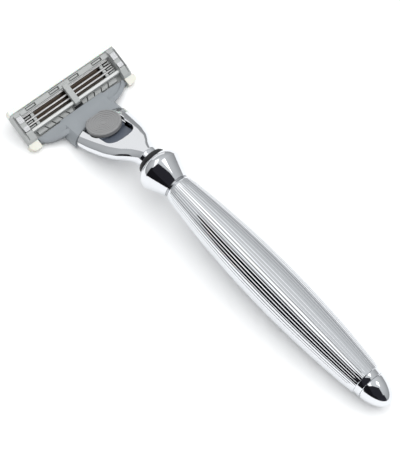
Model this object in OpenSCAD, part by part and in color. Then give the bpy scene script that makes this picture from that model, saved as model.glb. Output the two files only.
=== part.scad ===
// Cartridge razor lying on a table: chromed barrel handle, wide neck with an ejector
// button, and a pivoting three-blade cartridge on its connector.
// Millimetres. +X runs along the razor toward the butt, +Y along the blades, +Z up.
// The handle axis is tipped a few degrees, because the razor rests on its guard and belly.

/* [Pose] */
// Tilt of the handle axis, lowering the butt
tilt = 4.4; // [0:0.1:12]
// Position of the handle's ring seat along X
ring_x = -26.75; // [-40:0.01:-15]
// Height of the handle axis at the ring seat
ring_z = 12.33; // [8:0.01:18]

/* [Barrel] */
// Where the barrel starts behind the ring seat
barrel_start = 11.5; // [10:0.1:14]
// Where the barrel ends
barrel_end = 92.5; // [70:0.1:110]
// Largest barrel radius
barrel_r = 7.3; // [5:0.05:9]
// Station of the largest radius
barrel_mid = 53.5; // [40:0.5:70]
// Radius of the barrel's lengthwise arc
barrel_arc = 320; // [200:5:600]
// Radius of the smooth collar at the butt
collar_r = 4.7; // [4:0.05:5.5]
// Length of the smooth collar
collar_len = 1.9; // [1.5:0.1:4]
// Length of the butt cap outside the barrel
cap_len = 7.4; // [4:0.1:10]

/* [Bulb and ring] */
// Tube radius of the rubber ring
oring_tube = 0.93; // [0.6:0.01:1.2]
// Centre-line radius of the rubber ring
oring_r = 3.75; // [3.2:0.05:4.5]
// Largest radius of the bulb
bulb_r = 7.2; // [6:0.05:8]
// Station of the bulb's largest radius
bulb_mid = 4.3; // [3:0.1:6]
// Radius at the bulb's rear end
bulb_end_r = 4.4; // [4:0.05:5]
// Thickness of the collar ring behind the bulb
ring_t = 0.6; // [0.3:0.05:1.2]

/* [Neck] */
// Slope of the neck's flat top
neck_slope = 28; // [15:0.5:40]
// Radius of the neck at the rubber ring
neck_r = 3.6; // [3:0.05:4.5]
// Half width of the neck at its nose
neck_half = 9.8; // [7:0.1:12]
// Radius of the curved front edge
nose_arc = 20.8; // [15:0.1:40]
// Half width of the button recess
recess_half = 5.85; // [5:0.05:7.5]
// Half width of its deep rear part
deep_half = 5.1; // [4.5:0.05:6.5]
// Rear end of the button recess, from the nose
recess_len = 16.2; // [12:0.1:20]

/* [Ejector button] */
// Button radius
button_r = 5.6; // [4:0.1:7]
// Button wall height
button_h = 1.4; // [1:0.05:2.5]
// Slope of the button face
button_slope = 20; // [10:0.5:30]

/* [Cartridge] */
// Slope of the cartridge's back from cap to guard
cart_slope = 20; // [10:0.5:35]
// Half length over the housing ends
cart_half = 20.2; // [18:0.1:24]
// Half length of the opening for the blades
bay_half = 17.4; // [15:0.1:19]
// Width of the cartridge from cap to guard
cart_w = 14.5; // [10:0.1:18]
// Level of the blade edges below the back
skin = 4.6; // [3.5:0.1:6]
// Thickness of a blade
blade_t = 0.12; // [0.08:0.01:0.2]
// Half length of a blade
blade_half = 17.0; // [15:0.1:18]
// Radius of the pivot pins
pivot_r = 0.6; // [0.4:0.05:0.9]

/* [Hidden] */
$fn = 48;
eps = 0.01;
PIV_U = 13.2;
PIV_W = -3.0;
CONN_SLOPE = 10.6;
LEGS = [4.0, 5.75, 7.25];
dish_h = 0.3;
dish_r = (5.3 * 5.3 + dish_h * dish_h) / (2 * dish_h);

// ---- frames ----
module place() translate([ring_x, 0, ring_z]) rotate([0, tilt, 0]) children();
module k_frame() translate([-44.3, 0, -6.2]) rotate([0, cart_slope, 0]) children();
module n_frame() translate([-26.8, 0, -9.4]) rotate([0, -neck_slope, 0]) children();
module c_frame() translate([-33.66, 0, -10.6]) rotate([0, -CONN_SLOPE, 0]) children();

// A section drawn as [forward, height], carried along Y from y0 to y1
module along(y0, y1) translate([0, y1, 0]) rotate([90, 0, 0]) linear_extrude(y1 - y0) children();
// The same section on both sides of the middle
module both(y0, y1) {
  along(y0, y1) children();
  along(-y1, -y0) children();
}
module box(x0, x1, y0, y1, z0, z1) translate([x0, y0, z0]) cube([x1 - x0, y1 - y0, z1 - z0]);
module turned() rotate([0, 90, 0]) rotate_extrude($fn = 96) children();
module rod(r, x0, x1) translate([x0, 0, 0]) rotate([0, 90, 0]) cylinder(r = r, h = x1 - x0);
// Everything above the table
module above_table() {
  intersection() {
    place() children();
    translate([-100, -60, 0]) cube([240, 120, 60]);
  }
}

// ---- handle ----
function barrel_at(x) = barrel_r - barrel_arc + sqrt(barrel_arc * barrel_arc - pow(x - barrel_mid, 2));
band_start = barrel_end - collar_len;

module barrel() color([0.86, 0.87, 0.88]) place() difference() {
  turned() polygon(concat(
    [[0, barrel_start], [4.3, barrel_start]],
    [for (i = [0:24]) let (x = 12.3 + (band_start - 12.3) * i / 24) [barrel_at(x), x]],
    [[collar_r, band_start], [collar_r, barrel_end], [0, barrel_end]]
  ));
  rod(1.75, barrel_start - 1, 20.2);
  rod(2.55, 86.3, barrel_end + 1);
}

module end_cap() color([0.86, 0.87, 0.88]) place() {
  turned() polygon(concat(
    [[0, barrel_end + 0.02], [4.25, barrel_end + 0.02], [4.25, barrel_end + 0.4]],
    [for (i = [0:15]) let (t = 0.05 + 0.95 * sin(90 * i / 15))
      [4.7 * sqrt(max(0, 1 - t * t)) * (1 - 0.12 * t), barrel_end + cap_len * t]]
  ));
  rod(2.5, 86.6, barrel_end + 0.1);
}

module bulb() color([0.86, 0.87, 0.88]) place() turned() polygon(concat(
  [[1.75, 0.96], [4.7, 0.96]],
  [for (a = [8:8:82]) [4.7 + (bulb_r - 4.7) * sin(a), bulb_mid - (bulb_mid - 0.96) * cos(a)]],
  [[bulb_r, bulb_mid], [bulb_r - 0.04, bulb_mid + 0.25], [bulb_end_r, 10.9], [1.75, 10.9]]
));

module collar_ring() color([0.8, 0.81, 0.82]) place() turned()
  polygon([[1.8, 10.91], [4.15, 10.91], [4.15, 10.9 + ring_t - 0.01], [1.8, 10.9 + ring_t - 0.01]]);

module o_ring() color([0.12, 0.12, 0.13]) place()
  rotate([0, 90, 0]) rotate_extrude($fn = 72) translate([oring_r, 0]) circle(r = oring_tube, $fn = 24);

module neck_stud() color([0.7, 0.7, 0.71]) place() rod(1.7, -4.0, 20);

// Neck body: rounded sections that widen and thin toward the nose
NECK = [
  // station, half width, underside, squareness
  [-29.0, 9.9, -13.9, 2.6], [-26.8, 9.85, -13.65, 2.6], [-24.15, 9.8, -13.15, 2.6],
  [-22.0, 9.65, -12.5, 2.6], [-19.7, 9.4, -11.6, 2.55], [-18.0, 9.15, -10.85, 2.5],
  [-16.2, 8.8, -10.0, 2.5], [-14.8, 8.55, -9.3, 2.45], [-13.5, 8.25, -8.6, 2.4],
  [-12.3, 7.95, -8.0, 2.4], [-11.3, 7.55, -7.5, 2.35], [-10.3, 7.2, -7.0, 2.35],
  [-9.3, 6.75, -6.5, 2.3], [-8.3, 6.2, -6.0, 2.3], [-7.4, 5.6, -5.55, 2.25],
  [-6.5, 5.05, -5.1, 2.2], [-5.6, 4.62, -4.75, 2.15], [-4.6, 4.22, -4.4, 2.1],
  [-3.6, 3.92, -4.05, 2.05], [-2.6, 3.7, -3.75, 2.0], [-1.8, neck_r, -neck_r, 2.0],
  [-0.96, neck_r, -neck_r, 2.0]
];
NSEG = 48;
function neck_top(x) = min(neck_r, -9.4 + (x + 26.8) * tan(neck_slope));
function pw(v, m) = sign(v) * pow(abs(v), 2 / m);
function neck_ring(s) = let (zt = neck_top(s[0]), zc = (zt + s[2]) / 2, h = (zt - s[2]) / 2)
  [for (i = [0:NSEG - 1]) let (a = 360 * (i + 0.5) / NSEG)
    [s[0], s[1] * pw(cos(a), s[3]), zc + h * pw(sin(a), s[3])]];

module neck_body() {
  n = len(NECK);
  pts = [for (s = NECK) each neck_ring(s)];
  sides = [for (k = [0:n - 2]) for (i = [0:NSEG - 1]) let (
    j = (i + 1) % NSEG, a = k * NSEG + i, b = k * NSEG + j, c = a + NSEG, d = b + NSEG)
    each [[a, c, b], [b, c, d]]];
  front = [[for (i = [0:NSEG - 1]) i]];
  rear = [[for (i = [NSEG - 1:-1:0]) (n - 1) * NSEG + i]];
  polyhedron(points = pts, faces = concat(sides, front, rear), convexity = 6);
}

// A plan with a square front and rounded rear corners
module tongue_plan(u0, u1, half, r) {
  translate([u0, -half]) square([u1 - r - u0, 2 * half]);
  translate([u0, r - half]) square([u1 - u0, 2 * (half - r)]);
  for (s = [-1, 1]) translate([u1 - r, s * (half - r)]) circle(r = r);
}

module nose_cylinder(grow) n_frame() translate([0.4 + nose_arc, 0, -20])
  cylinder(r = nose_arc + grow, h = 40, $fn = 120);

module neck() color([0.86, 0.87, 0.88]) place() {
  difference() {
    intersection() {
      neck_body();
      nose_cylinder(0);
    }
    n_frame() translate([0, 0, -1.3]) linear_extrude(6) tongue_plan(-3, 10.6, recess_half, 4);
    n_frame() translate([0, 0, -2.95]) linear_extrude(6) tongue_plan(5.0, recess_len, deep_half, 4);
    rod(1.75, -4.2, 0);
    c_frame() translate([6, 0, -2.2]) rotate([0, 90, 0]) cylinder(r = 1.12, h = 5.0);
    c_frame() box(0, 7.0, -1.75, 1.75, -3.35, 3);
  }
  // spigot that carries the rubber ring
  difference() {
    rod(2.75, -1.0, 0.94);
    rod(1.75, -2, 2);
  }
  // two docking prongs that enter the connector
  c_frame() for (s = [-1, 1]) box(3.7, 9.4, s > 0 ? 1.85 : -6.0, s > 0 ? 6.0 : -1.85, -3.1, -1.25);
}

// ---- ejector ----
module button_cap() color([0.62, 0.62, 0.63]) place() intersection() {
  n_frame() translate([5.03, 0, 0.95]) rotate([0, neck_slope - button_slope, 0]) difference() {
    union() {
      translate([0, 0, -button_h]) cylinder(r = button_r, h = button_h - 0.3, $fn = 96);
      translate([0, 0, -0.3]) cylinder(r1 = button_r, r2 = button_r - 0.3, h = 0.3, $fn = 96);
    }
    // dished face with fine concentric grooves
    translate([0, 0, dish_r - dish_h]) sphere(r = dish_r, $fn = 200);
    for (r = [0.9:0.75:4.7]) rotate_extrude($fn = 96)
      translate([r, -dish_h - 0.08 + r * r / (2 * dish_r)]) square([0.25, 1]);
  }
  n_frame() box(0.4, 30, -10, 10, -10, 10);
}

module ejector_slider() color([0.2, 0.22, 0.26]) place() n_frame() {
  translate([0, 0, -2.85]) linear_extrude(0.85) tongue_plan(8.3, 15.6, 4.5, 3.5);
  box(8.3, 9.2, -4.5, 4.5, -2.85, -1.1);
  box(7.0, 8.5, -4.75, 4.75, -1.9, -0.96);
  // arms that push on the connector
  for (s = [-1, 1]) box(1.4, 7.2, s > 0 ? 3.6 : -4.75, s > 0 ? 4.75 : -3.6, -1.22, -0.82);
}

module plunger() color([0.08, 0.08, 0.09]) place() c_frame() {
  difference() {
    box(-1.55, 3.6, -1.5, 1.5, -1.95, -0.62);
    translate([-1.55, 0, -1.95]) rotate([0, 45, 0]) cube([0.7, 4, 0.7], center = true);
  }
  box(2.4, 6.6, -1.5, 1.5, -2.95, -1.9);
  translate([6.5, 0, -2.2]) rotate([0, 90, 0]) cylinder(r = 1.02, h = 0.9);
  translate([7.3, 0, -2.2]) rotate([0, 90, 0]) cylinder(r = 0.5, h = 2.0);
}

module plunger_spring() color([0.6, 0.6, 0.62]) place() c_frame() translate([7.42, 0, -2.2]) {
  for (i = [0:5]) translate([0.17 + i * 0.62, 0, 0]) rotate([0, 90, 0])
    rotate_extrude($fn = 32) translate([0.8, 0]) circle(r = 0.16, $fn = 12);
  for (i = [0:4]) translate([0.17 + i * 0.62, (i % 2 == 0 ? 0.8 : -0.8), 0]) rotate([0, 90, 0])
    cylinder(r = 0.12, h = 0.62, $fn = 16);
}

// ---- connector ----
// Crescent wing outline, [toward the guard, along the blades]
WING_OUT = [[12.0, 16.95], [12.4, 16.95], [13.2, 16.75], [14.1, 16.0], [14.9, 14.8], [15.5, 13.5], [16.0, 11.8],
            [16.5, 9.0], [17.2, 7.6]];
module wing_plate() polygon(concat([[12.0, 7.6]], WING_OUT));
module wing_rim() polygon(concat([[15.2, 7.6], [14.75, 11.0], [14.1, 13.2], [13.1, 15.0], [12.5, 15.8],
  [12.0, 16.0]], WING_OUT));
// Everything under a surface that falls from the middle to the wing tips
module falling(drop) rotate([90, 0, 90]) translate([0, 0, 8]) linear_extrude(12)
  polygon([[7.5, 1.9 - drop], [8.8, 1.5 - drop], [17.2, -2.0 - drop], [17.2, -5], [7.5, -5]]);

module connector() color([0.6, 0.6, 0.61]) above_table() {
  difference() {
    union() {
      // middle: a sloping roof over the neck's nose, hollowed for the turning cartridge
      c_frame() intersection() {
        along(-9.8, 9.8) polygon(concat(
          [[0, 0], [8.8, 0], [8.8, -4.25], [3.2, -4.25], [2.86, -3.9]],
          [for (a = [-15:10:95]) [0.19 + 2.6 * cos(a), -3.02 + 2.6 * sin(a)]]
        ));
        rotate([90, 0, 90]) linear_extrude(12) polygon([[-9.75, -4.3], [-9.75, -2.5], [-9.3, -1.4], [-8.5, -0.4],
          [-7.9, 0.1], [7.9, 0.1], [8.5, -0.4], [9.3, -1.4], [9.75, -2.5], [9.75, -4.3]]);
      }
      // crescent wings: a sunk floor with a raised rim, falling away to the pivot pins
      for (s = [-1, 1]) k_frame() scale([1, s, 1]) difference() {
        union() {
          intersection() {
            translate([0, 0, -3.2]) linear_extrude(6) wing_plate();
            falling(0.85);
          }
          intersection() {
            translate([0, 0, -3.2]) linear_extrude(6) wing_rim();
            falling(0);
          }
        }
        along(7, 18) polygon([[11, -2.5], [11.9, -2.7], [12.9, -3.21], [12.9, -4], [11, -4]]);
      }
      // pivot pins
      k_frame() for (s = [-1, 1]) translate([PIV_U, s > 0 ? 15.9 : -18.6, PIV_W]) rotate([-90, 0, 0])
        cylinder(r = pivot_r, h = 2.7, $fn = 32);
    }
    nose_cylinder(0.3);
    c_frame() box(3.4, 12, -6.25, 6.25, -3.3, -1.05);
    c_frame() box(-3, 12, -1.7, 1.7, -3.2, -0.47);
    c_frame() box(-3, 12, -20, 20, 0.001, 9);
  }
}

// ---- cartridge ----
END = [[1.75, -0.45], [2.6, -0.02], [9.4, -0.1], [11.6, -0.75], [12.2, -1.3], [12.2, -2.2], [14.2, -2.2],
       [14.2, -3.95], [12.6, -4.62], [2.9, -4.62], [1.75, -4.2]];
FLOOR = [[8.5, -1.4], [8.75, -1.15], [9.45, -1.15], [9.7, -1.4], [9.7, -2.85], [10.2, -2.85], [10.2, -2.62],
         [11.15, -2.62], [11.4, -2.87], [11.4, -3.75], [14.2, -3.75], [14.2, -3.95], [13.9, -4.1],
         [10.0, -4.1], [9.6, -3.72], [8.5, -3.72]];

module housing() color([0.68, 0.69, 0.7]) above_table() k_frame() difference() {
  union() {
    both(bay_half, cart_half) polygon(END);
    along(-bay_half - eps, bay_half + eps) polygon([[1.75, -0.9], [1.95, -0.7], [3.45, -0.7], [3.65, -0.9],
      [3.65, -1.9], [3.4, -3.0], [1.75, -3.0]]);
    along(-bay_half - eps, bay_half + eps) polygon(FLOOR);
    // centre rib across the blade bay
    along(-0.95, 0.95) polygon([[2.6, -0.75], [3.1, -0.25], [9.9, -0.25], [10.2, -0.6], [10.2, -1.6],
      [9.2, -1.7], [2.6, -1.7]]);
  }
  // windows in the cap band
  for (y = [-13.05, -3.9, 3.9, 13.05]) box(2.2, 3.3, y - 1.9, y + 1.9, -4, 0);
  // pockets between the guard blocks and under the plunger
  along(-1.9, 1.9) polygon([[9.72, -2.4], [12, -2.4], [12, -3.74], [9.72, -3.74]]);
  for (s = [-1, 1]) for (y = [3.4:2.8:12]) scale([1, s, 1]) translate([0, 0, -3.74]) linear_extrude(1.3)
    polygon([[9.9, y + 1.1], [9.9, y + 0.6], [12, y - 0.6], [12, y - 0.1]]);
  both(15.5, bay_half) polygon([[9.9, -2.4], [12, -2.4], [12, -3.74], [9.9, -3.74]]);
  // pivot bores
  for (s = [-1, 1]) translate([PIV_U, s > 0 ? bay_half - 0.1 : -bay_half - 1.5, PIV_W]) rotate([-90, 0, 0])
    cylinder(r = pivot_r + 0.05, h = 1.6, $fn = 32);
  // seam beside the end wall
  both(19.6, 19.82) polygon([[2.4, 1], [11.2, 1], [11.2, -1.2], [2.4, -0.6]]);
  // slots for the clip legs
  both(17.5, 19.6) polygon([[3.25, 1], [3.7, 1], [3.7, -6], [3.25, -6]]);
  both(17.5, 19.6) polygon([[8.25, 1], [8.7, 1], [8.7, -6], [8.25, -6]]);
}

module strip_body() along(-cart_half, cart_half) polygon([[0.35, -0.2], [0.7, -0.08], [1.5, -0.08],
  [1.7, -0.3], [1.7, -3.05], [3.0, -3.05], [3.0, -4.5], [2.6, -4.75], [1.2, -4.75], [0.3, -4.2], [0, -3.4],
  [0, -0.7]]);

module lubricating_strip() color([0.93, 0.95, 0.93]) above_table() k_frame() difference() {
  union() {
    // posts that show in the windows of the cap band
    for (y = [-13.05, -3.9, 3.9, 13.05]) box(2.27, 3.0, y - 1.8, y + 1.8, -3.1, -1.0);
    strip_body();
  }
  // the middle of the edge is set back
  translate([0, 0, -6]) linear_extrude(8) polygon([[-1, -14.9], [0, -14.2], [0.7, -12.2], [0.7, 12.2],
    [0, 14.2], [-1, 14.9]]);
  both(bay_half - 0.03, 25) polygon([[1.71, 1], [4, 1], [4, -6], [1.71, -6]]);
}

module guard_fins() color([0.9, 0.89, 0.84]) above_table() k_frame() {
  // overmoulded guard face under the housing floor
  along(-bay_half + 0.02, bay_half - 0.02) polygon([[10.05, -4.12], [13.92, -4.12], [14.22, -3.97],
    [14.22, -3.76], [14.5, -3.9], [14.5, -4.6], [10.3, -4.6]]);
  for (i = [0:3]) along(-16.6, 16.6) polygon([[10.6 + i * 0.5, -4.59], [10.8 + i * 0.5, -4.59],
    [10.72 + i * 0.5, -4.82], [10.65 + i * 0.5, -4.82]]);
  // corner blocks wrapped round the housing ends
  for (s = [-1, 1]) scale([1, s, 1]) difference() {
    translate([0, 0, -4.6]) linear_extrude(3.2) polygon([[12.22, 17.38], [12.22, 20.6], [12.6, 20.9], [13.6, 20.9],
      [14.3, 20.4], [14.8, 19.2], [14.8, 17.38]]);
    translate([0, 0, 0]) box(12, 14.22, 17, 20.22, -5, -2.18);
  }
}

// Bent support: an upright leg and a sloping foot that carries the blade
module support(i) color([0.75, 0.76, 0.78]) place() k_frame() along(-blade_half, blade_half) polygon([
  [LEGS[i] - 0.25, -2.08], [LEGS[i] - 0.17, -2.0], [LEGS[i] + 0.17, -2.0], [LEGS[i] + 0.25, -2.08],
  [LEGS[i] + 0.25, -3.57], [LEGS[i] + 1.3, -3.99], [LEGS[i] + 1.22, -4.2], [LEGS[i] - 0.25, -3.63]
]);

module blade(i) color([0.82, 0.83, 0.85]) place() k_frame() translate([LEGS[i] + 0.45, 0, -3.93])
  rotate([0, 21.7, 0]) along(-blade_half, blade_half)
  polygon([[0, 0], [0, -blade_t], [1.55, -blade_t], [1.9, -blade_t * 0.6], [1.9, -blade_t * 0.5], [1.55, 0]]);

// Bent clip round the housing's end: two leaves on the back, two legs, a base under the guard
module clip(s) color([0.8, 0.81, 0.82]) above_table() k_frame()
  along(s > 0 ? 17.6 : -19.5, s > 0 ? 19.5 : -17.6) polygon([
  [3.35, 0.22], [5.6, 0.22], [5.6, 0.02], [3.6, 0.02], [3.6, -4.66], [8.35, -4.66], [8.35, 0.02], [7.0, 0.02],
  [7.0, 0.22], [8.6, 0.22], [8.6, -4.66], [10.2, -4.66], [10.2, -4.88], [2.9, -4.88], [2.9, -4.66], [3.35, -4.66]
]);

module blade_support_1() support(0);
module blade_support_2() support(1);
module blade_support_3() support(2);
module blade_1() blade(0);
module blade_2() blade(1);
module blade_3() blade(2);
module clip_left() clip(-1);
module clip_right() clip(1);

neck();
neck_stud();
o_ring();
bulb();
collar_ring();
barrel();
end_cap();
ejector_slider();
button_cap();
plunger();
plunger_spring();
connector();
housing();
lubricating_strip();
guard_fins();
blade_support_1();
blade_support_2();
blade_support_3();
blade_1();
blade_2();
blade_3();
clip_left();
clip_right();
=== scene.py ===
"""Cartridge razor: chromed barrel handle, wide neck with an ejector button, three-blade cartridge.

The CAD frame is loaded, its visible nodes are dressed, and the pieces that need finer
surfaces are modelled here in the same places.
"""

import logging
import math
from dataclasses import dataclass
from enum import Enum

import bmesh
import bpy
from mathutils import Matrix, Vector


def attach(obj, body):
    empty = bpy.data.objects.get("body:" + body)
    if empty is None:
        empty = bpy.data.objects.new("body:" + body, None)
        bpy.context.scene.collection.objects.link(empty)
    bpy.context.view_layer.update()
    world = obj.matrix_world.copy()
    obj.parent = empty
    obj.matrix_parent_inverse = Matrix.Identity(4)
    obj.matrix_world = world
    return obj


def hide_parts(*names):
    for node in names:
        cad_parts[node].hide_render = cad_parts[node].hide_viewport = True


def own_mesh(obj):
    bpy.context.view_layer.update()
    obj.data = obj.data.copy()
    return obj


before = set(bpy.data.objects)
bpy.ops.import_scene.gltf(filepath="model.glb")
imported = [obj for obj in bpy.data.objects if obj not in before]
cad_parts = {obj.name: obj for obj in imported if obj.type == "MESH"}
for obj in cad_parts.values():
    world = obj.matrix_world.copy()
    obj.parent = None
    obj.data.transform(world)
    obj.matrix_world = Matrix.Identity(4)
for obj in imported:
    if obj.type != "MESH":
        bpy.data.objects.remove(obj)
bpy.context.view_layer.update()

MM = 0.001
LOG = logging.getLogger("razor")

Triple = tuple[float, float, float]


# --------------------------------------------------------------------------- frames


@dataclass(frozen=True)
class Layout:
    """Where the handle, cartridge, neck and connector frames stand, in millimetres."""

    ring_x: float = -26.75
    ring_z: float = 12.33
    tilt: float = 4.4
    cart_at: tuple[float, float] = (-44.3, -6.2)
    cart_slope: float = 20.0
    neck_at: tuple[float, float] = (-26.8, -9.4)
    neck_slope: float = 28.0
    conn_at: tuple[float, float] = (-33.66, -10.6)
    conn_slope: float = 10.6

    def handle(self) -> Matrix:
        """The handle frame: origin at the rubber ring, X along the axis.

        Returns:
            The frame's matrix in world metres.
        """
        place = Matrix.Translation(Vector((self.ring_x, 0, self.ring_z)) * MM)
        return place @ Matrix.Rotation(math.radians(self.tilt), 4, "Y")

    def sub(self, x: float, z: float, slope: float) -> Matrix:
        """A frame at (x, z) of the handle frame, its X axis sloping down by slope degrees.

        Args:
            x: Station along the handle, mm.
            z: Height over the handle axis, mm.
            slope: Downward slope of the new X axis, degrees.

        Returns:
            The frame's matrix in world metres.
        """
        move = Matrix.Translation(Vector((x, 0, z)) * MM)
        return self.handle() @ move @ Matrix.Rotation(math.radians(slope), 4, "Y")

    def cartridge(self) -> Matrix:
        """The cartridge frame: X from cap to guard, Z out of its back.

        Returns:
            The frame's matrix in world metres.
        """
        return self.sub(*self.cart_at, self.cart_slope)

    def neck(self) -> Matrix:
        """The frame of the neck's flat top.

        Returns:
            Its matrix in world metres.
        """
        return self.sub(*self.neck_at, -self.neck_slope)

    def connector(self) -> Matrix:
        """The frame of the connector's flat top.

        Returns:
            Its matrix in world metres.
        """
        return self.sub(*self.conn_at, -self.conn_slope)

    def lathe(self) -> Matrix:
        """The frame whose Z axis is the handle axis, for turned pieces.

        Returns:
            Its matrix in world metres.
        """
        return self.handle() @ Matrix.Rotation(math.radians(90), 4, "Y")


# --------------------------------------------------------------------------- finishes


class Grain(Enum):
    """How a finish's fine relief is laid."""

    EVEN = (1.0, 1.0, 1.0)
    ALONG_Y = (1.0, 0.04, 1.0)
    ALONG_X = (0.04, 1.0, 1.0)


class GrainGroup:
    """The node group that every finish takes its mottle and fine grain from."""

    NAME = "surface_grain"

    @classmethod
    def get(cls) -> bpy.types.NodeTree:
        """The group, built on first use.

        Returns:
            A tree that turns a position into a broad mottle and a fine, laid grain.
        """
        if cls.NAME in bpy.data.node_groups:
            return bpy.data.node_groups[cls.NAME]
        tree = bpy.data.node_groups.new(cls.NAME, "ShaderNodeTree")
        for name, kind in (
            ("Vector", "NodeSocketVector"),
            ("Lay", "NodeSocketVector"),
            ("Mottle Scale", "NodeSocketFloat"),
            ("Grain Scale", "NodeSocketFloat"),
        ):
            tree.interface.new_socket(name, in_out="INPUT", socket_type=kind)
        for name in ("Mottle", "Grain"):
            tree.interface.new_socket(name, in_out="OUTPUT", socket_type="NodeSocketFloat")
        take = tree.nodes.new("NodeGroupInput")
        give = tree.nodes.new("NodeGroupOutput")
        lay = tree.nodes.new("ShaderNodeVectorMath")
        lay.operation = "MULTIPLY"
        tree.links.new(take.outputs["Vector"], lay.inputs[0])
        tree.links.new(take.outputs["Lay"], lay.inputs[1])
        for name, where, scale, detail in (
            ("Mottle", take.outputs["Vector"], "Mottle Scale", 3.0),
            ("Grain", lay.outputs["Vector"], "Grain Scale", 4.0),
        ):
            noise = tree.nodes.new("ShaderNodeTexNoise")
            noise.inputs["Detail"].default_value = detail
            tree.links.new(where, noise.inputs["Vector"])
            tree.links.new(take.outputs[scale], noise.inputs["Scale"])
            tree.links.new(noise.outputs["Fac"], give.inputs[name])
        return tree


@dataclass(frozen=True)
class Finish:
    """One surface finish, built once as a node material."""

    name: str
    color: Triple
    metallic: float = 0.0
    rough: tuple[float, float] = (0.35, 0.45)
    grain: float = 900.0
    relief: float = 0.00002
    lay: Grain = Grain.EVEN
    mottle: float = 0.08
    mottle_scale: float = 120.0
    subsurface: float = 0.0
    subsurface_reach: float = 0.001
    specular: float = 0.5
    bump: float = 0.6
    mottle_span: tuple[float, float] = (0.3, 0.65)
    gloss_span: tuple[float, float] = (0.3, 0.7)

    def build(self) -> bpy.types.Material:
        """Makes the material: mottled colour, uneven gloss and a fine relief.

        Returns:
            The material, ready to be put in a slot.
        """
        mat = bpy.data.materials.new(self.name)
        mat.use_nodes = True
        tree = mat.node_tree
        shader = tree.nodes["Principled BSDF"]
        shader.inputs["Metallic"].default_value = self.metallic
        shader.inputs["Subsurface Weight"].default_value = self.subsurface
        shader.inputs["Subsurface Scale"].default_value = self.subsurface_reach
        shader.inputs["Specular IOR Level"].default_value = self.specular
        place = tree.nodes.new("ShaderNodeTexCoord")
        grain = tree.nodes.new("ShaderNodeGroup")
        grain.node_tree = GrainGroup.get()
        grain.inputs["Lay"].default_value = self.lay.value
        grain.inputs["Mottle Scale"].default_value = self.mottle_scale
        grain.inputs["Grain Scale"].default_value = self.grain
        tree.links.new(place.outputs["Object"], grain.inputs["Vector"])
        tint = tree.nodes.new("ShaderNodeValToRGB")
        dark = [c * (1.0 - self.mottle) for c in self.color]
        tint.color_ramp.elements[0].color = (*dark, 1.0)
        tint.color_ramp.elements[0].position = self.mottle_span[0]
        tint.color_ramp.elements[1].color = (*self.color, 1.0)
        tint.color_ramp.elements[1].position = self.mottle_span[1]
        tree.links.new(grain.outputs["Mottle"], tint.inputs["Fac"])
        tree.links.new(tint.outputs["Color"], shader.inputs["Base Color"])
        gloss = tree.nodes.new("ShaderNodeMapRange")
        gloss.inputs["From Min"].default_value = self.gloss_span[0]
        gloss.inputs["From Max"].default_value = self.gloss_span[1]
        gloss.inputs["To Min"].default_value = self.rough[0]
        gloss.inputs["To Max"].default_value = self.rough[1]
        tree.links.new(grain.outputs["Grain"], gloss.inputs["Value"])
        tree.links.new(gloss.outputs["Result"], shader.inputs["Roughness"])
        bump = tree.nodes.new("ShaderNodeBump")
        bump.inputs["Strength"].default_value = self.bump
        bump.inputs["Distance"].default_value = self.relief
        tree.links.new(grain.outputs["Grain"], bump.inputs["Height"])
        tree.links.new(bump.outputs["Normal"], shader.inputs["Normal"])
        return mat


CHROME = Finish("chrome_plate", (0.77, 0.785, 0.81), 1.0, (0.03, 0.07), 300.0, 0.0000015, mottle=0.02)
# painted shade: chrome darkened for the collar ring that sits in the groove behind the bulb
CHROME_GROOVE_SHADE = Finish("chrome_groove_painted_shade", (0.45, 0.46, 0.48), 1.0, (0.12, 0.2), 900.0, 0.000003)
# painted shade: a dark chrome for the neck's recess walls and nose face
CHROME_WALL_SHADE = Finish("chrome_wall_painted_shade", (0.2, 0.21, 0.23), 1.0, (0.1, 0.2), 900.0, 0.000003)
STUD_STEEL = Finish("stud_steel", (0.5, 0.5, 0.51), 1.0, (0.3, 0.4), lay=Grain.ALONG_X)
RING_RUBBER = Finish("ring_rubber", (0.012, 0.012, 0.013), 0.0, (0.45, 0.6), 1500.0, 0.00003)
SLIDER_PLASTIC = Finish("slider_plastic", (0.095, 0.11, 0.14), 0.0, (0.3, 0.42))
BUTTON_PLASTIC = Finish("button_plastic", (0.26, 0.26, 0.262), 0.0, (0.38, 0.5), 2600.0, 0.00003)
PLUNGER_PLASTIC = Finish("plunger_plastic", (0.01, 0.01, 0.011), 0.0, (0.4, 0.5))
SPRING_WIRE = Finish("spring_wire", (0.5, 0.5, 0.52), 1.0, (0.2, 0.3))
CONNECTOR_PLASTIC = Finish("connector_plastic", (0.262, 0.282, 0.30), 0.0, (0.34, 0.46), 2200.0, 0.00002)
HOUSING_PLASTIC = Finish("housing_plastic", (0.40, 0.412, 0.405), 0.0, (0.3, 0.42), 2200.0, 0.00002)
BAR_PLASTIC = Finish("bar_plastic", (0.66, 0.67, 0.66), 0.0, (0.25, 0.35), 2200.0, 0.00002)
RAIL_PLASTIC = Finish("rail_plastic", (0.22, 0.225, 0.225), 0.0, (0.25, 0.35), 2200.0, 0.00002)
# painted shade: dark plastic for the window wells and the end seams
SHADOW_PLASTIC = Finish("shadow_plastic", (0.085, 0.088, 0.085), 0.0, (0.5, 0.6), 2200.0, 0.00002)
STRIP_COMPOUND = Finish(
    "strip_compound", (0.83, 0.87, 0.82), 0.0, (0.4, 0.55), 1800.0, 0.00004, subsurface=0.2
)
GUARD_ELASTOMER = Finish(
    "guard_elastomer", (0.74, 0.73, 0.66), 0.0, (0.5, 0.62), 1800.0, 0.00003, subsurface=0.15
)
# steel painted dark brown as the shade and dark reflection between the blade supports
SUPPORT_STEEL_SHADE = Finish(
    "support_steel", (0.29, 0.245, 0.21), 1.0, (0.2, 0.34), 1600.0, 0.000006, Grain.ALONG_Y
)
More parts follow.
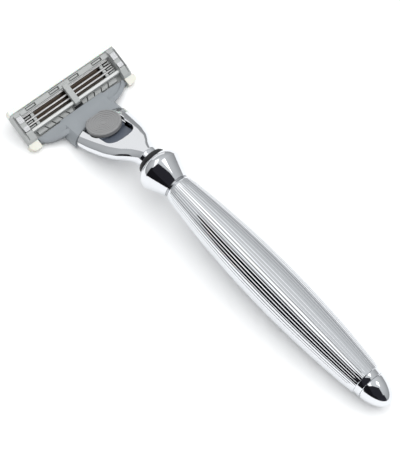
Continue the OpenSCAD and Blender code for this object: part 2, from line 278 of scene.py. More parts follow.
# painted highlight: near-white steel for the supports' top edges
SUPPORT_HIGHLIGHT = Finish("support_painted_highlight", (0.92, 0.91, 0.9), 1.0, (0.3, 0.42), 1600.0, 0.000006, Grain.ALONG_Y)
BLADE_STEEL = Finish("blade_steel", (0.66, 0.66, 0.67), 1.0, (0.06, 0.14), 1600.0, 0.000004, Grain.ALONG_Y)
CLIP_ALUMINIUM = Finish("clip_aluminium", (0.9, 0.9, 0.91), 1.0, (0.18, 0.3), 1600.0, 0.000008, Grain.ALONG_Y)
FLOOR_PAPER = Finish(
    "floor_paper", (0.95, 0.95, 0.95), 0.0, (0.8, 0.9), 200.0, 0.0, mottle=0.0, specular=0.1
)


class Finishes:
    """Builds each finish once and puts it on pieces."""

    def __init__(self) -> None:
        """Starts with nothing built."""
        self._built: dict[str, bpy.types.Material] = {}

    def get(self, finish: Finish) -> bpy.types.Material:
        """The material of a finish, built on first use.

        Args:
            finish: The finish wanted.

        Returns:
            Its one material.
        """
        if finish.name not in self._built:
            self._built[finish.name] = finish.build()
        return self._built[finish.name]

    def dress(self, obj: bpy.types.Object, finish: Finish) -> None:
        """Gives a whole piece one finish.

        Args:
            obj: The piece.
            finish: The finish it gets in place of any other.
        """
        obj.data.materials.clear()
        obj.data.materials.append(self.get(finish))


# --------------------------------------------------------------------------- modelling tools


class Bench:
    """The modelling steps that several pieces share."""

    BEVEL_STEPS = 3
    SOFT_ANGLE = 40.0
    BLOCK_ANGLE = 50.0

    @staticmethod
    def clear() -> None:
        """Leaves edit mode and deselects everything."""
        if bpy.context.object and bpy.context.object.mode != "OBJECT":
            bpy.ops.object.mode_set(mode="OBJECT")
        bpy.ops.object.select_all(action="DESELECT")

    @staticmethod
    def settle(obj: bpy.types.Object, name: str, place: Matrix, angle: float = 35.0) -> bpy.types.Object:
        """Ends edit mode, moves the mesh into place and smooths it.

        Args:
            obj: The piece, modelled in its own frame.
            name: The finished piece's name.
            place: Matrix from that frame to the world.
            angle: Edges sharper than this stay sharp, degrees.

        Returns:
            The finished piece, its object at the origin.
        """
        if obj.mode != "OBJECT":
            bpy.ops.object.mode_set(mode="OBJECT")
        obj.name = name
        obj.data.name = name
        obj.matrix_world = place @ obj.matrix_world
        bpy.ops.object.transform_apply(location=True, rotation=True, scale=True)
        bpy.ops.object.shade_smooth_by_angle(angle=math.radians(angle))
        return obj

    @staticmethod
    def block(name: str, low: Triple, high: Triple, place: Matrix, edge: float) -> bpy.types.Object:
        """A small moulded block with softened edges.

        Args:
            name: The piece's name.
            low: Its lower corner in its own frame, mm.
            high: Its upper corner, mm.
            place: Matrix from that frame to the world.
            edge: Width of the softened edges, mm.

        Returns:
            The finished piece.
        """
        Bench.clear()
        bpy.ops.mesh.primitive_cube_add(size=1.0)
        obj = bpy.context.object
        bpy.ops.object.mode_set(mode="EDIT")
        bpy.ops.mesh.select_all(action="SELECT")
        size = [(b - a) * MM for a, b in zip(low, high)]
        mid = [(a + b) / 2 * MM for a, b in zip(low, high)]
        bpy.ops.transform.resize(value=size, center_override=(0, 0, 0))
        bpy.ops.transform.translate(value=mid)
        bpy.ops.mesh.bevel(offset=edge * MM, segments=Bench.BEVEL_STEPS, affect="EDGES")
        return Bench.settle(obj, name, place, Bench.BLOCK_ANGLE)

    @staticmethod
    def copy(obj: bpy.types.Object, name: str, move: Vector) -> bpy.types.Object:
        """A copy of a finished piece with its own mesh, moved in the mesh.

        Args:
            obj: The piece to copy.
            name: The copy's name.
            move: How far the copy stands from it, world metres.

        Returns:
            The copy.
        """
        Bench.clear()
        obj.select_set(True)
        bpy.context.view_layer.objects.active = obj
        bpy.ops.object.duplicate(linked=False)
        twin = bpy.context.object
        twin.name = name
        twin.data.name = name
        twin.location = move
        bpy.ops.object.transform_apply(location=True, rotation=True, scale=True)
        return twin

    @staticmethod
    def soften(node: bpy.types.Object, name: str, width: float, angle: float) -> bpy.types.Object:
        """A copy of a plain solid, cleaned and with its sharp edges rounded.

        Args:
            node: The solid to copy.
            name: The new piece's name.
            width: Width of the rounding, mm.
            angle: Edges sharper than this are rounded, degrees.

        Returns:
            The softened piece.
        """
        piece = Bench.copy(node, name, Vector((0, 0, 0)))
        bpy.ops.object.mode_set(mode="EDIT")
        bpy.ops.mesh.select_all(action="SELECT")
        bpy.ops.mesh.remove_doubles(threshold=0.002 * MM)
        bpy.ops.mesh.dissolve_limited(angle_limit=math.radians(1.0))
        bpy.ops.object.mode_set(mode="OBJECT")
        Bench.round_edges(piece, width, angle)
        return piece

    @staticmethod
    def round_edges(piece: bpy.types.Object, width: float, angle: float) -> None:
        """Rounds the sharp edges of the active piece and smooths its faces.

        Args:
            piece: The piece, active and selected.
            width: Width of the rounding, mm.
            angle: Edges sharper than this are rounded, degrees.
        """
        soft = piece.modifiers.new("soften", "BEVEL")
        soft.width, soft.segments, soft.limit_method = width * MM, Bench.BEVEL_STEPS, "ANGLE"
        soft.angle_limit = math.radians(angle)
        bpy.ops.object.modifier_apply(modifier=soft.name)
        bpy.ops.object.shade_smooth_by_angle(angle=math.radians(Bench.SOFT_ANGLE))


@dataclass
class Turned:
    """A turned piece: rings carried along the axis and scaled, optionally fluted."""

    name: str
    rings: list[tuple[float, float]]
    segments: int = 128
    flutes: int = 0
    flute_depth: float = 0.0
    flute_from: float = 0.0
    flute_to: float = 0.0
    flute_shoulder: float = 0.12
    end_pinch: float = 0.02
    angle: float = 30.0

    def build(self, place: Matrix) -> bpy.types.Object:
        """Extrudes and scales ring after ring, then closes both ends.

        Args:
            place: Matrix from the lathe frame (Z along the axis) to the world.

        Returns:
            The finished piece.
        """
        Bench.clear()
        x0, r0 = self.rings[0]
        bpy.ops.mesh.primitive_circle_add(vertices=self.segments, radius=r0 * MM, location=(0, 0, 0))
        obj = bpy.context.object
        bpy.ops.object.mode_set(mode="EDIT")
        bpy.ops.mesh.select_all(action="SELECT")
        bpy.ops.transform.translate(value=(0, 0, x0 * MM))
        self._close(x0)
        self._pick_outer(r0)
        x, r, fluted = x0, r0, False
        for nx, nr in self.rings[1:]:
            bpy.ops.mesh.extrude_edges_move(TRANSFORM_OT_translate={"value": (0, 0, (nx - x) * MM)})
            k = nr / r
            bpy.ops.transform.resize(value=(k, k, 1), center_override=(0, 0, nx * MM))
            want = bool(self.flutes) and self.flute_from <= nx <= self.flute_to
            if want != fluted:
                self._flute(nx, 1.0 if want else -1.0)
                fluted = want
            x, r = nx, nr
        self._close(x)
        bpy.ops.mesh.select_all(action="SELECT")
        bpy.ops.mesh.normals_make_consistent(inside=False)
        return Bench.settle(obj, self.name, place, self.angle)

    def _close(self, x: float) -> None:
        """Closes the selected ring with a band drawn in to the axis and a small face.

        Args:
            x: The ring's station, mm.
        """
        pinch = (self.end_pinch, self.end_pinch, 1)
        bpy.ops.mesh.extrude_edges_move()
        bpy.ops.transform.resize(value=pinch, center_override=(0, 0, x * MM))
        bpy.ops.mesh.edge_face_add()

    @staticmethod
    def _pick_outer(radius: float) -> None:
        """Selects the first ring again, without the small face that closes it.

        Args:
            radius: The ring's radius, mm.
        """
        bm = bmesh.from_edit_mesh(bpy.context.object.data)
        for v in bm.verts:
            v.select = v.co.xy.length >= radius * MM * 0.9
        bm.select_flush_mode()
        bmesh.update_edit_mesh(bpy.context.object.data)

    def _flute(self, x: float, way: float) -> None:
        """Draws the groove vertices of the selected ring inward, or back out.

        Args:
            x: The ring's station, mm.
            way: 1 to cut the flutes in, -1 to fade them out.
        """
        per = self.segments // self.flutes
        bm = bmesh.from_edit_mesh(bpy.context.object.data)
        ring = [v for v in bm.verts if v.select]
        step = 2 * math.pi / self.segments
        depth = {0: 1.0, 1: self.flute_shoulder, per - 1: self.flute_shoulder}
        for offset, share in depth.items():
            for v in ring:
                turn = round(math.atan2(v.co.y, v.co.x) / step)
                v.select = turn % per == offset
            bm.select_flush_mode()
            bmesh.update_edit_mesh(bpy.context.object.data)
            k = 1.0 - self.flute_depth * share
            k = k if way > 0 else 1.0 / k
            bpy.ops.transform.resize(value=(k, k, 1), center_override=(0, 0, x * MM))
        for v in ring:
            v.select = True
        bm.select_flush_mode()
        bmesh.update_edit_mesh(bpy.context.object.data)


# --------------------------------------------------------------------------- neck


@dataclass
class Neck:
    """The wide, flat-topped neck with the button's recess."""

    layout: Layout
    finishes: Finishes
    radius: float = 3.6
    rear_ease: float = 0.35
    nose_lip: float = 0.4
    nose_arc: float = 20.8
    # the recess: a wide shelf, and a narrower deep part behind the nose
    shelf_depth: float = 1.3
    shelf_len: float = 10.6
    recess_half: float = 5.85
    deep_depth: float = 2.95
    deep_from: float = 5.0
    deep_half: float = 5.1
    recess_len: float = 16.2
    corner: float = 4.0
    corner_steps: int = 14
    edge: float = 0.16
    edge_angle: float = 50.0
    around: int = 96
    step: float = 0.35
    # station, half width, underside, squareness
    stations: tuple[tuple[float, float, float, float], ...] = (
        (-29.0, 9.9, -13.9, 2.6),
        (-26.8, 9.85, -13.65, 2.6),
        (-24.15, 9.8, -13.15, 2.6),
        (-19.7, 9.4, -11.6, 2.55),
        (-16.2, 8.8, -10.0, 2.5),
        (-13.5, 8.25, -8.6, 2.4),
        (-11.3, 7.5, -7.45, 2.35),
        (-9.3, 6.7, -6.5, 2.3),
        (-7.4, 5.6, -5.55, 2.25),
        (-5.6, 4.62, -4.75, 2.15),
        (-3.6, 3.92, -4.05, 2.05),
        (-1.8, 3.6, -3.6, 2.0),
        (-0.96, 3.6, -3.6, 2.0),
    )

    def section(self, x: float) -> tuple[float, float, float]:
        """Half width, underside and squareness at station x, by a smooth curve.

        Args:
            x: Station along the handle, mm.

        Returns:
            The three values at x.
        """
        rows = self.stations
        k = max(i for i in range(len(rows) - 1) if rows[i][0] <= x + 1e-9)
        before, a = rows[max(k - 1, 0)], rows[k]
        b, after = rows[k + 1], rows[min(k + 2, len(rows) - 1)]
        gap = b[0] - a[0]
        t = (x - a[0]) / gap
        out = []
        for j in (1, 2, 3):
            ma = (b[j] - before[j]) / max(b[0] - before[0], 1e-6) * gap
            mb = (after[j] - a[j]) / max(after[0] - a[0], 1e-6) * gap
            h = (2 * t**3 - 3 * t**2 + 1, t**3 - 2 * t**2 + t, 3 * t**2 - 2 * t**3, t**3 - t**2)
            out.append(h[0] * a[j] + h[1] * ma + h[2] * b[j] + h[3] * mb)
        return out[0], out[1], out[2]

    def top(self, x: float) -> float:
        """Height of the flat top at station x, eased into the round rear.

        Args:
            x: Station along the handle, mm.

        Returns:
            The height over the handle axis, mm.
        """
        at_x, at_z = self.layout.neck_at
        flat = at_z + (x - at_x) * math.tan(math.radians(self.layout.neck_slope))
        soft = self.rear_ease
        gap = self.radius - flat
        eased = self.radius - (gap + math.sqrt(gap * gap + soft * soft)) / 2
        return eased + soft / 2 * math.exp(-abs(gap) * 3)

    def shell(self) -> bpy.types.Object:
        """The lofted body, before its recess is cut.

        Returns:
            The body in its place.
        """
        Bench.clear()
        bpy.ops.mesh.primitive_circle_add(vertices=self.around, radius=MM, location=(0, 0, 0))
        obj = bpy.context.object
        bm = bmesh.new()
        front, rear = self.stations[0][0], self.stations[-1][0]
        count = int((rear - front) / self.step)
        rings = []
        for k in range(count + 1):
            x = front + (rear - front) * k / count
            half, low, power = self.section(x)
            half, low = max(half, self.radius), min(low, -self.radius)
            high = min(self.top(x), self.radius)
            mid, tall = (high + low) / 2, (high - low) / 2
            ring = []
            for i in range(self.around):
                a = 2 * math.pi * (i + 0.5) / self.around
                c, s = math.cos(a), math.sin(a)
                y = half * math.copysign(abs(c) ** (2 / power), c)
                z = mid + tall * math.copysign(abs(s) ** (2 / power), s)
                ring.append(bm.verts.new(Vector((x, y, z)) * MM))
            rings.append(ring)
        for a, b in zip(rings, rings[1:]):
            for i in range(self.around):
                j = (i + 1) % self.around
                bm.faces.new((a[i], a[j], b[j], b[i]))
        bm.faces.new(rings[0])
        bm.faces.new(list(reversed(rings[-1])))
        bmesh.ops.recalc_face_normals(bm, faces=bm.faces)
        bm.to_mesh(obj.data)
        bm.free()
        return Bench.settle(obj, "neck_body", self.layout.handle(), Bench.SOFT_ANGLE)

    def cutter(self, depth: float, front: float, rear: float, half: float) -> bpy.types.Object:
        """A block with rounded rear corners that cuts the recess to a depth.

        Args:
            depth: Depth under the flat top, mm.
            front: Where the cut starts, mm behind the nose.
            rear: Where it ends, mm behind the nose.
            half: Half its width, mm.

        Returns:
            The cutting block.
        """
        Bench.clear()
        long, wide, tall = rear - front, 2 * half, 8.0
        bpy.ops.mesh.primitive_cube_add(size=1.0)
        obj = bpy.context.object
        bpy.ops.object.mode_set(mode="EDIT")
        bpy.ops.mesh.select_all(action="SELECT")
        bpy.ops.transform.resize(value=(long * MM, wide * MM, tall * MM), center_override=(0, 0, 0))
        bpy.ops.transform.translate(value=((front + long / 2) * MM, 0, (tall / 2 - depth) * MM))
        bm = bmesh.from_edit_mesh(obj.data)
        for face in bm.faces:
            face.select = False
        for e in bm.edges:
            a, b = (v.co for v in e.verts)
            upright = (a.xy - b.xy).length < 1e-6
            if upright and a.x > (rear - 1) * MM:
                e.select = True
        bmesh.update_edit_mesh(obj.data)
        bpy.ops.mesh.bevel(offset=self.corner * MM, segments=self.corner_steps, affect="EDGES")
        return Bench.settle(obj, "recess_cutter", self.layout.neck(), Bench.SOFT_ANGLE)

    def nose_block(self) -> bpy.types.Object:
        """The drum whose front side gives the nose its curve.

        Returns:
            The drum in its place.
        """
        Bench.clear()
        bpy.ops.mesh.primitive_cylinder_add(vertices=256, radius=self.nose_arc * MM, depth=40 * MM)
        obj = bpy.context.object
        bpy.ops.object.mode_set(mode="EDIT")
        bpy.ops.mesh.select_all(action="SELECT")
        bpy.ops.transform.translate(value=((self.nose_lip + self.nose_arc) * MM, 0, 0))
        return Bench.settle(obj, "nose_drum", self.layout.neck(), Bench.SOFT_ANGLE)

    def paint_wall_shade(self, body: bpy.types.Object) -> None:
        """Gives the recess's walls and the nose's face a rougher chrome painted much darker, as painted shade
        in the recess and the gap at the nose.

        Args:
            body: The finished neck.
        """
        body.data.materials.append(self.finishes.get(CHROME_WALL_SHADE))
        back = self.layout.neck().inverted()
        middle = Vector((self.nose_lip + self.nose_arc, 0))
        side, end = self.recess_half + 0.02, self.recess_len + 0.02
        for face in body.data.polygons:
            at = back @ face.center / MM
            way = back.to_3x3() @ face.normal
            nose = abs((at.xy - middle).length - self.nose_arc) < 0.06 and at.x < 3
            inside = abs(at.y) < side and at.x < end and at.z < -0.2
            # the recess walls and the nose's face take the painted shade
            if (nose or inside) and abs(way.z) < 0.5:
                face.material_index = 1

    def build(self) -> None:
        """Lofts the neck, cuts its recess and nose, and softens the edges."""
        body = self.shell()
        for cutter, how in (
            (self.nose_block(), "INTERSECT"),
            (self.cutter(self.shelf_depth, -3.0, self.shelf_len, self.recess_half), "DIFFERENCE"),
            (self.cutter(self.deep_depth, self.deep_from, self.recess_len, self.deep_half), "DIFFERENCE"),
        ):
            Bench.clear()
            body.select_set(True)
            bpy.context.view_layer.objects.active = body
            mod = body.modifiers.new("cut", "BOOLEAN")
            mod.operation, mod.object, mod.solver = how, cutter, "EXACT"
            bpy.ops.object.modifier_apply(modifier=mod.name)
            bpy.data.objects.remove(cutter, do_unlink=True)
        Bench.round_edges(body, self.edge, self.edge_angle)
        self.finishes.dress(body, CHROME)
        self.paint_wall_shade(body)
        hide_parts("neck")
        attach(body, "handle")
        LOG.info("modelled %s", body.name)


# --------------------------------------------------------------------------- handle


@dataclass
class Handle:
    """The turned handle: bulb, collar ring, fluted barrel and butt cap."""

    layout: Layout
    finishes: Finishes
    barrel_r: float = 7.3
    barrel_mid: float = 53.5
    barrel_arc: float = 320.0
    barrel_start: float = 11.5
    band_start: float = 90.6
    barrel_end: float = 92.5
    collar_r: float = 4.7
    cap_len: float = 7.4
    bulb_r: float = 7.2
    bulb_mid: float = 4.3
    front_r: float = 4.7
    flutes: int = 44
    sides_per_flute: int = 8
    flute_depth: float = 0.0098
    flute_from: float = 12.4
    body_from: float = 12.5
    body_rings: int = 34

    def radius(self, x: float) -> float:
        """The barrel's radius at a station.

        Args:
            x: Station along the handle, mm.

        Returns:
            The radius, mm.
        """
        sag = math.sqrt(self.barrel_arc**2 - (x - self.barrel_mid) ** 2)
        return self.barrel_r - self.barrel_arc + sag

    def barrel(self) -> bpy.types.Object:
        """The fluted barrel with its smooth collar.

        Returns:
            The finished piece.
        """
        rings = [(self.barrel_start, 4.15), (self.barrel_start + 0.12, 4.3), (12.25, 4.62)]
        for i in range(self.body_rings + 1):
            x = self.body_from + (self.band_start - 0.35 - self.body_from) * i / self.body_rings
            rings.append((x, self.radius(x)))
        rings += [
            (self.band_start - 0.1, self.radius(self.band_start)),
            (self.band_start, self.collar_r + 0.05),
            (self.band_start + 0.12, self.collar_r),
            (self.barrel_end - 0.15, self.collar_r),
            (self.barrel_end, self.collar_r - 0.15),
        ]
        piece = Turned(
            "fluted_barrel",
            rings,
            segments=self.flutes * self.sides_per_flute,
            flutes=self.flutes,
            flute_depth=self.flute_depth,
            flute_from=self.flute_from,
            flute_to=self.band_start - 0.2,
            angle=50,
        ).build(self.layout.lathe())
        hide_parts("barrel")
        return piece

    def cap(self) -> bpy.types.Object:
        """The butt cap: a short shoulder and a bullet nose.

        Returns:
            The finished piece.
        """
        x0, count = self.barrel_end + 0.02, 24
        rings = [(x0, 4.2), (x0 + 0.3, 4.2), (x0 + 0.42, 4.62)]
        for i in range(1, count + 1):
            t = 0.07 + 0.925 * math.sin(math.radians(90 * i / count))
            r = self.collar_r * math.sqrt(1 - t * t) * (1 - 0.12 * t)
            rings.append((self.barrel_end + self.cap_len * t, r))
        piece = Turned("butt_cap", rings, 96).build(self.layout.lathe())
        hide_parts("end_cap")
        return piece

    def bulb(self) -> bpy.types.Object:
        """The bulb: a rounded front, a soft ridge and a straight cone.

        Returns:
            The finished piece.
        """
        rings = [(0.96, 4.3)]
        for a in range(6, 90, 6):
            s, c = math.sin(math.radians(a)), math.cos(math.radians(a))
            rings.append((self.bulb_mid - 3.34 * c, self.front_r + (self.bulb_r - self.front_r) * s))
        rings += [(self.bulb_mid, self.bulb_r), (self.bulb_mid + 0.15, self.bulb_r - 0.02)]
        rings += [(self.bulb_mid + 0.35, self.bulb_r - 0.1), (10.7, 4.42), (10.88, 4.3)]
        piece = Turned("neck_bulb", rings, 128).build(self.layout.lathe())
        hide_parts("bulb")
        return piece

    def build(self) -> None:
        """Models the chromed turned pieces and dresses the rest of the handle."""
        for piece in (self.barrel(), self.cap(), self.bulb()):
            self.finishes.dress(piece, CHROME)
            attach(piece, "handle")
            LOG.info("modelled %s", piece.name)
        for node, finish in (
            # the collar ring's chrome is painted darker as the groove's shade
            ("collar_ring", CHROME_GROOVE_SHADE),
            ("o_ring", RING_RUBBER),
            ("neck_stud", STUD_STEEL),
            ("plunger", PLUNGER_PLASTIC),
        ):
            self.finishes.dress(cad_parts[node], finish)


@dataclass
class Ejector:
    """The push button, its slider, and the coil behind the plunger."""

    layout: Layout
    finishes: Finishes
    coil_at: Triple = (7.45, 0.0, -2.2)
    coil_r: float = 0.8
    wire_r: float = 0.15
    wire_sides: int = 10
    end_room: float = 0.17
    pitch: float = 0.62
    turns: int = 5
    turn_steps: int = 24
    give: float = 0.6

    def coil(self) -> bpy.types.Object:
        """The coil: a wire section carried round the axis by a screw, and capped.

        Returns:
            The finished coil.
        """
        Bench.clear()
        bpy.ops.mesh.primitive_circle_add(vertices=self.wire_sides, radius=self.wire_r * MM)
        obj = bpy.context.object
        bpy.ops.object.mode_set(mode="EDIT")
        bpy.ops.mesh.select_all(action="SELECT")
        bpy.ops.transform.rotate(value=math.radians(90), orient_axis="X", center_override=(0, 0, 0))
        bpy.ops.transform.translate(value=(self.coil_r * MM, 0, self.end_room * MM))
        bpy.ops.object.mode_set(mode="OBJECT")
        screw = obj.modifiers.new("turns", "SCREW")
        screw.axis, screw.steps, screw.render_steps = "Z", self.turn_steps, self.turn_steps
        screw.iterations, screw.screw_offset = self.turns, self.pitch * MM
        bpy.ops.object.modifier_apply(modifier=screw.name)
        bpy.ops.object.mode_set(mode="EDIT")
        bpy.ops.mesh.select_all(action="SELECT")
        bpy.ops.mesh.fill_holes(sides=0)
        bpy.ops.mesh.normals_make_consistent(inside=False)
        along = Matrix.Rotation(math.radians(90), 4, "Y")
        place = self.layout.connector() @ Matrix.Translation(Vector(self.coil_at) * MM) @ along
        piece = Bench.settle(obj, "plunger_coil", place, 60)
        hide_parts("plunger_spring")
        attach(piece, "handle")
        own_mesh(piece)
        return piece

    def build(self) -> None:
        """Models the coil and dresses the button and slider."""
        coil = self.coil()
        self.finishes.dress(coil, SPRING_WIRE)
        LOG.info("modelled %s", coil.name)
        self.finishes.dress(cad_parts["button_cap"], BUTTON_PLASTIC)
        self.finishes.dress(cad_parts["ejector_slider"], SLIDER_PLASTIC)


@dataclass
class BladePack:
    """Three bent supports, each with its blade welded on its foot."""

    layout: Layout
    finishes: Finishes
    legs: tuple[float, ...] = (4.0, 5.75, 7.25)
    half: float = 17.0
    leg_half: float = 0.25
    leg_top: float = -2.0
    bend: float = -3.6
    foot: tuple[float, float] = (1.0, -0.42)
    edge: float = 0.07
    highlight_band: float = 0.12

    def support(self) -> bpy.types.Object:
        """One support: an upright leg, bent into a sloping foot, with a painted highlight along its top edge
        and painted shade on the rest.

        Returns:
            The support of the first blade.
        """
        Bench.clear()
        bpy.ops.mesh.primitive_cube_add(size=1.0)
        obj = bpy.context.object
        bpy.ops.object.mode_set(mode="EDIT")
        bpy.ops.mesh.select_all(action="SELECT")
        tall = self.leg_top - self.bend
        size = (2 * self.leg_half * MM, 2 * self.half * MM, tall * MM)
        bpy.ops.transform.resize(value=size, center_override=(0, 0, 0))
        bpy.ops.transform.translate(value=(self.legs[0] * MM, 0, (self.leg_top + self.bend) / 2 * MM))
        self._pick(-1.0)
        bpy.ops.mesh.extrude_region_move(
            TRANSFORM_OT_translate={"value": (self.foot[0] * MM, 0, self.foot[1] * MM)}
        )
        self._pick(1.0)
        bpy.ops.mesh.bevel(offset=self.edge * MM, segments=Bench.BEVEL_STEPS, affect="EDGES")
        return Bench.settle(obj, "bent_support_1", self.layout.cartridge(), 35)

    @staticmethod
    def _pick(way: float) -> None:
        """Selects the highest face that looks up, or the lowest that looks down.

        Args:
            way: 1 for up, -1 for down.
        """
        bm = bmesh.from_edit_mesh(bpy.context.object.data)
        bm.normal_update()
        flat = [f for f in bm.faces if f.normal.z * way > 0.9]
        best = max(flat, key=lambda f: f.calc_center_median().z * way)
        for f in bm.faces:
            f.select = False
        best.select = True
        bm.select_flush_mode()
        bmesh.update_edit_mesh(bpy.context.object.data)

    def build(self) -> None:
        """Models one support, copies it, and dresses supports and blades."""
        first = self.support()
        first.data.materials.append(self.finishes.get(SUPPORT_STEEL_SHADE))
        first.data.materials.append(self.finishes.get(SUPPORT_HIGHLIGHT))
        up = self.layout.cartridge().to_3x3() @ Vector((0, 0, 1))
        top = max(v.co.dot(up) for v in first.data.vertices)
        # up-facing faces near the top get the painted highlight; the rest keep the darker painted shade
        for face in first.data.polygons:
            high = face.center.dot(up) > top - self.highlight_band * MM
            face.material_index = int(high and face.normal.dot(up) > 0.3)
        slide = self.layout.cartridge().to_3x3() @ Vector((1, 0, 0)) * MM
        packs = [first]
        for i, leg in enumerate(self.legs[1:], start=2):
            packs.append(Bench.copy(first, f"bent_support_{i}", slide * (leg - self.legs[0])))
        for i, piece in enumerate(packs, start=1):
            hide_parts(f"blade_support_{i}")
            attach(piece, f"blade_unit_{i}")
            self.finishes.dress(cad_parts[f"blade_{i}"], BLADE_STEEL)
            LOG.info("modelled %s", piece.name)


@dataclass
class Cartridge:
    """The connector and the shaving cartridge's mouldings."""

    layout: Layout
    finishes: Finishes
    windows: tuple[float, ...] = (-13.05, -3.9, 3.9, 13.05)
    legs: tuple[float, ...] = (4.0, 5.75, 7.25, 8.75)
    leg_room: float = 0.31
    finger_y: float = 13.2
    finger_len: float = 1.1
    tongue_y: float = 14.7
    tongue_end: float = 16.9
    tongue_half: float = 0.2
    rib_half: float = 1.05
    crown_end: float = 17.3
    # inner side, outer side, underside, top
    seams: tuple[tuple[float, float, float, float], ...] = (
        (19.62, 19.8, -0.7, -0.07),
        (17.42, 17.56, -0.5, 0.01),
    )

    def part(self, name: str, low: Triple, high: Triple, edge: float, finish: Finish) -> None:
        """Adds one small moulded detail of the housing.

        Args:
            name: The piece's name.
            low: Its lower corner in the cartridge frame, mm.
            high: Its upper corner, mm.
            edge: Width of its softened edges, mm.
            finish: Its finish.
        """
        piece = Bench.block(name, low, high, self.layout.cartridge(), edge)
        self.finishes.dress(piece, finish)
        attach(piece, "cartridge")

    def window_fill(self) -> None:
        """A dark plate painted as shade in each window's well, and a round-ended stud in each window of the
        cap band.
        """
        for i, y in enumerate(self.windows, start=1):
            well = (2.22, y - 1.88, -1.1), (3.28, y + 1.88, -0.96)
            stud = (2.42, y - 1.66, -1.0), (3.0, y + 1.5, -0.8)
            # the well is a dark plate painted as the window's shade
            self.part(f"window_well_{i}", *well, 0.03, SHADOW_PLASTIC)
            self.part(f"window_stud_{i}", *stud, 0.14, HOUSING_PLASTIC)

    def fingers(self) -> None:
        """Small moulded fingers and tongues between the supports, near both ends of the bay."""
        for side, sign in (("left", -1.0), ("right", 1.0)):
            for i, (a, b) in enumerate(zip(self.legs, self.legs[1:]), start=1):
                u0, u1 = a + self.leg_room, b - self.leg_room
                y = sorted((sign * self.finger_y, sign * (self.finger_y + self.finger_len)))
                finger = (u0, y[0], -3.2), (u1, y[1], -2.1)
                self.part(f"finger_{side}_{i}", *finger, 0.08, HOUSING_PLASTIC)
                mid = (u0 + u1) / 2
                y = sorted((sign * self.tongue_y, sign * self.tongue_end))
                tongue = (mid - self.tongue_half, y[0], -3.3), (mid + self.tongue_half, y[1], -2.15)
                self.part(f"tongue_{side}_{i}", *tongue, 0.06, HOUSING_PLASTIC)

    def bar_crown(self) -> None:
        """The bright crown of the bar behind the blades, on both sides of the rib."""
        sides = ("left", -self.crown_end, -self.rib_half), ("right", self.rib_half, self.crown_end)
        for side, y0, y1 in sides:
            self.part(f"bar_crown_{side}", (8.72, y0, -1.3), (9.5, y1, -1.08), 0.06, BAR_PLASTIC)

    def end_lines(self) -> None:
        """The seams, painted dark as the shade of their grooves, and the darker rails along both end walls.
        """
        for side, sign in (("left", -1.0), ("right", 1.0)):
            for i, (y0, y1, low, top) in enumerate(self.seams, start=1):
                y = sorted((sign * y0, sign * y1))
                # each seam is a dark strip painted as the shade of a groove
                self.part(f"seam_{side}_{i}", (2.7, y[0], low), (9.3, y[1], top), 0.02, SHADOW_PLASTIC)
            y = sorted((sign * 19.84, sign * 20.19))
            self.part(f"end_rail_{side}", (2.66, y[0], -0.6), (9.3, y[1], 0.05), 0.1, RAIL_PLASTIC)

    def build(self) -> None:
        """Softens the connector, dresses the mouldings and adds the housing's details."""
        piece = Bench.soften(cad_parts["connector"], "moulded_connector", 0.14, 32)
        self.finishes.dress(piece, CONNECTOR_PLASTIC)
        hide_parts("connector")
        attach(piece, "connector")
        LOG.info("modelled %s", piece.name)
        self.window_fill()
        self.fingers()
        self.bar_crown()
        self.end_lines()
        for node, finish in (
            ("housing", HOUSING_PLASTIC),
            ("lubricating_strip", STRIP_COMPOUND),
            ("guard_fins", GUARD_ELASTOMER),
            ("clip_left", CLIP_ALUMINIUM),
            ("clip_right", CLIP_ALUMINIUM),
        ):
            self.finishes.dress(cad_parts[node], finish)


# --------------------------------------------------------------------------- studio


class Cast(Enum):
    """The tint of a studio card."""

    BRIGHT = (1.0, 1.0, 1.0, 1.0)
    DARK = (0.82, 0.8, 1.0, 1.0)


@dataclass(frozen=True)
class Card:
    """One card that only mirrors in the chrome; it neither lights nor shades."""

    name: str
    at: Triple
    size: tuple[float, float]
    level: float
    cast: Cast


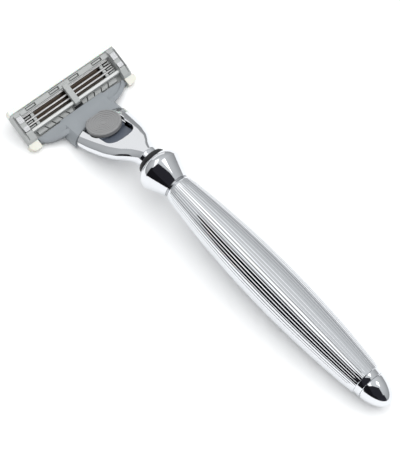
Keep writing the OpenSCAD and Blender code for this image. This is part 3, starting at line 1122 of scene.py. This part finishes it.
@dataclass
class Studio:
    """Floor, light, mirror cards and camera."""

    sky: tuple[float, float, float, float] = (0.965, 0.985, 1.0, 1.0)
    zenith: float = 0.78
    horizon: float = 0.34
    key_power: float = 2.0
    key_at: Triple = (0.25, 0.6, 0.75)
    key_size: tuple[float, float] = (0.9, 0.6)
    fill_power: float = 42.0
    fill_at: Triple = (0.1, 0.0, 2.2)
    fill_size: tuple[float, float] = (3.0, 3.0)
    floor_side: float = 6.0
    cards: tuple[Card, ...] = (
        Card("band_card", (-0.2, -0.3, 0.9), (1.4, 0.4), 1.4, Cast.BRIGHT),
        Card("neck_card", (-0.8, 0.3, 0.28), (0.7, 0.34), 1.0, Cast.BRIGHT),
        Card("edge_card", (0.275, 0.238, 0.6), (0.19, 0.16), 2.0, Cast.BRIGHT),
        Card("side_card", (0.23, -0.8, 0.36), (1.54, 1.05), 0.012, Cast.DARK),
        Card("camera_card", (0.46, -0.27, 0.46), (0.64, 0.58), 0.03, Cast.DARK),
        Card("butt_card", (0.72, -0.25, 0.2), (0.7, 0.56), 0.035, Cast.DARK),
    )
    camera_at: Triple = (0.15645, -0.1434, 0.36388)
    camera_way: Triple = (-0.38418, 0.3403, -0.85825)
    lens: float = 113.71

    def floor(self) -> None:
        """A plain pale floor under the razor."""
        Bench.clear()
        bpy.ops.mesh.primitive_grid_add(x_subdivisions=8, y_subdivisions=8, size=self.floor_side)
        obj = bpy.context.object
        obj.name = "floor"
        obj.data.materials.append(FLOOR_PAPER.build())

    def lights(self) -> None:
        """A pale surround, brightest overhead, a soft key from the far side and a wide fill above."""
        world = bpy.data.worlds.new("surround")
        bpy.context.scene.world = world
        world.use_nodes = True
        tree = world.node_tree
        back = tree.nodes["Background"]
        way = tree.nodes.new("ShaderNodeTexCoord")
        split = tree.nodes.new("ShaderNodeSeparateXYZ")
        tree.links.new(way.outputs["Generated"], split.inputs["Vector"])
        rise = tree.nodes.new("ShaderNodeMapRange")
        rise.inputs["From Min"].default_value = 0.0
        rise.inputs["From Max"].default_value = 1.0
        rise.inputs["To Min"].default_value = self.horizon
        rise.inputs["To Max"].default_value = self.zenith
        tree.links.new(split.outputs["Z"], rise.inputs["Value"])
        tree.links.new(rise.outputs["Result"], back.inputs["Strength"])
        back.inputs["Color"].default_value = self.sky
        self.lamp("key", self.key_at, self.key_size, self.key_power)
        self.lamp("fill", self.fill_at, self.fill_size, self.fill_power)

    @staticmethod
    def lamp(name: str, at: Triple, size: tuple[float, float], power: float) -> None:
        """Hangs a soft rectangular lamp that points at the razor and shows in no mirror.

        Args:
            name: The lamp's name.
            at: Its place, metres.
            size: Its sides, metres.
            power: Its power, watts.
        """
        data = bpy.data.lights.new(name, "AREA")
        data.shape = "RECTANGLE"
        data.size, data.size_y = size
        data.energy = power
        lamp = bpy.data.objects.new(name, data)
        bpy.context.collection.objects.link(lamp)
        lamp.location = at
        lamp.rotation_euler = (-Vector(at)).to_track_quat("-Z", "Y").to_euler()
        lamp.visible_glossy = False

    def place_card(self, card: Card) -> None:
        """Stands one card up, facing the razor.

        Args:
            card: The card's place, size and level.
        """
        Bench.clear()
        bpy.ops.mesh.primitive_grid_add(x_subdivisions=4, y_subdivisions=4, size=1.0)
        obj = bpy.context.object
        obj.name = card.name
        obj.scale = (card.size[0], card.size[1], 1.0)
        obj.location = card.at
        obj.rotation_euler = Vector(card.at).to_track_quat("Z", "Y").to_euler()
        obj.visible_diffuse = obj.visible_shadow = obj.visible_camera = False
        obj.visible_transmission = obj.visible_volume_scatter = False
        mat = bpy.data.materials.new(card.name)
        mat.use_nodes = True
        shader = mat.node_tree.nodes["Principled BSDF"]
        shader.inputs["Base Color"].default_value = (0.0, 0.0, 0.0, 1.0)
        shader.inputs["Specular IOR Level"].default_value = 0.0
        shader.inputs["Emission Color"].default_value = card.cast.value
        shader.inputs["Emission Strength"].default_value = card.level
        obj.data.materials.append(mat)

    def camera(self) -> None:
        """The camera over the razor's butt end."""
        data = bpy.data.cameras.new("camera")
        data.sensor_fit = "VERTICAL"
        data.sensor_height = 36.0
        data.lens = self.lens
        data.clip_start = 0.01
        cam = bpy.data.objects.new("camera", data)
        bpy.context.collection.objects.link(cam)
        cam.location = self.camera_at
        cam.rotation_euler = Vector(self.camera_way).to_track_quat("-Z", "Y").to_euler()
        bpy.context.scene.camera = cam

    def build(self) -> None:
        """Sets up the whole studio."""
        self.floor()
        self.lights()
        for card in self.cards:
            self.place_card(card)
        self.camera()
        bpy.context.scene.view_settings.view_transform = "Standard"


def main() -> None:
    """Builds every sub-assembly and the studio."""
    logging.basicConfig(level=logging.INFO, format="%(name)s: %(message)s")
    layout, finishes = Layout(), Finishes()
    for kind in (Neck, Handle, Ejector, BladePack, Cartridge):
        part = kind(layout, finishes)
        part.build()
        LOG.info("built %s", type(part).__name__)
    Studio().build()


if __name__ == "__main__":
    main()
